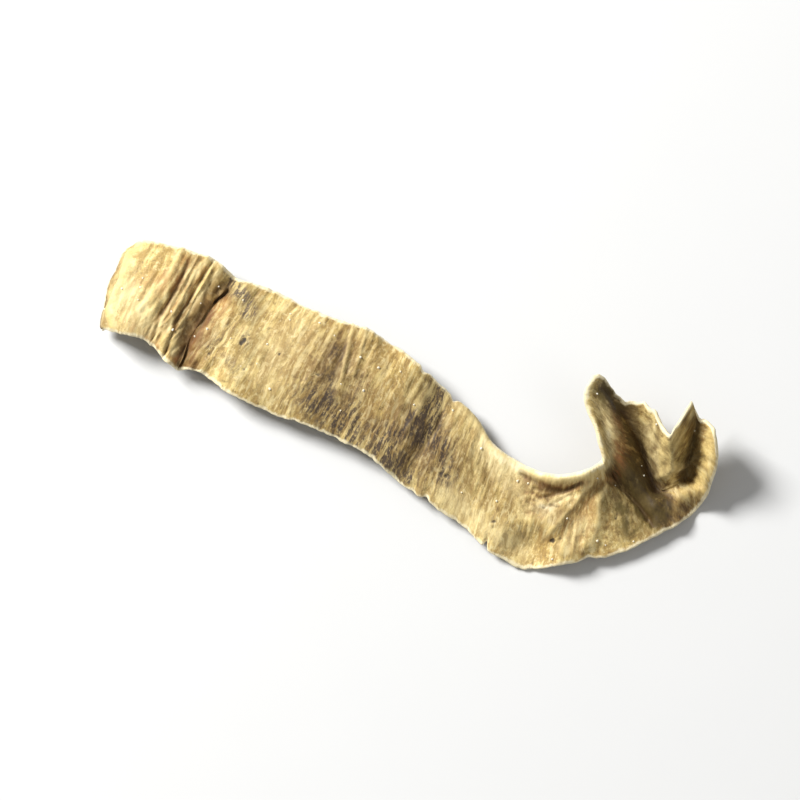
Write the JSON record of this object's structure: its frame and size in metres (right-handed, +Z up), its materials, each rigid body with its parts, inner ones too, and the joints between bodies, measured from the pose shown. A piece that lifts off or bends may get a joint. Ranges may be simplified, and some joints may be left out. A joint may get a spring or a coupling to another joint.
{
  "type": "dried kombu strip",
  "caption": "Broken strip of dried kelp blade with a turned-down cut end, crosswise wrinkles, an upturned edge and a torn end in two ruffled lobes.",
  "frame": {"origin": "on the surface that the strip lies on, under the middle of its bounding box", "axes": "+X along the strip from the cut end to the torn end, +Y across it to the edge that turns up, +Z up"},
  "size_m": [0.0966, 0.033, 0.0121],
  "materials": {
    "dry_kelp": "dry, satin to matt, pale tan mottled with olive and grey-brown"
  },
  "bodies": {
    "root": {"kombu_blade": "dry_kelp"}
  },
  "joints": []
}
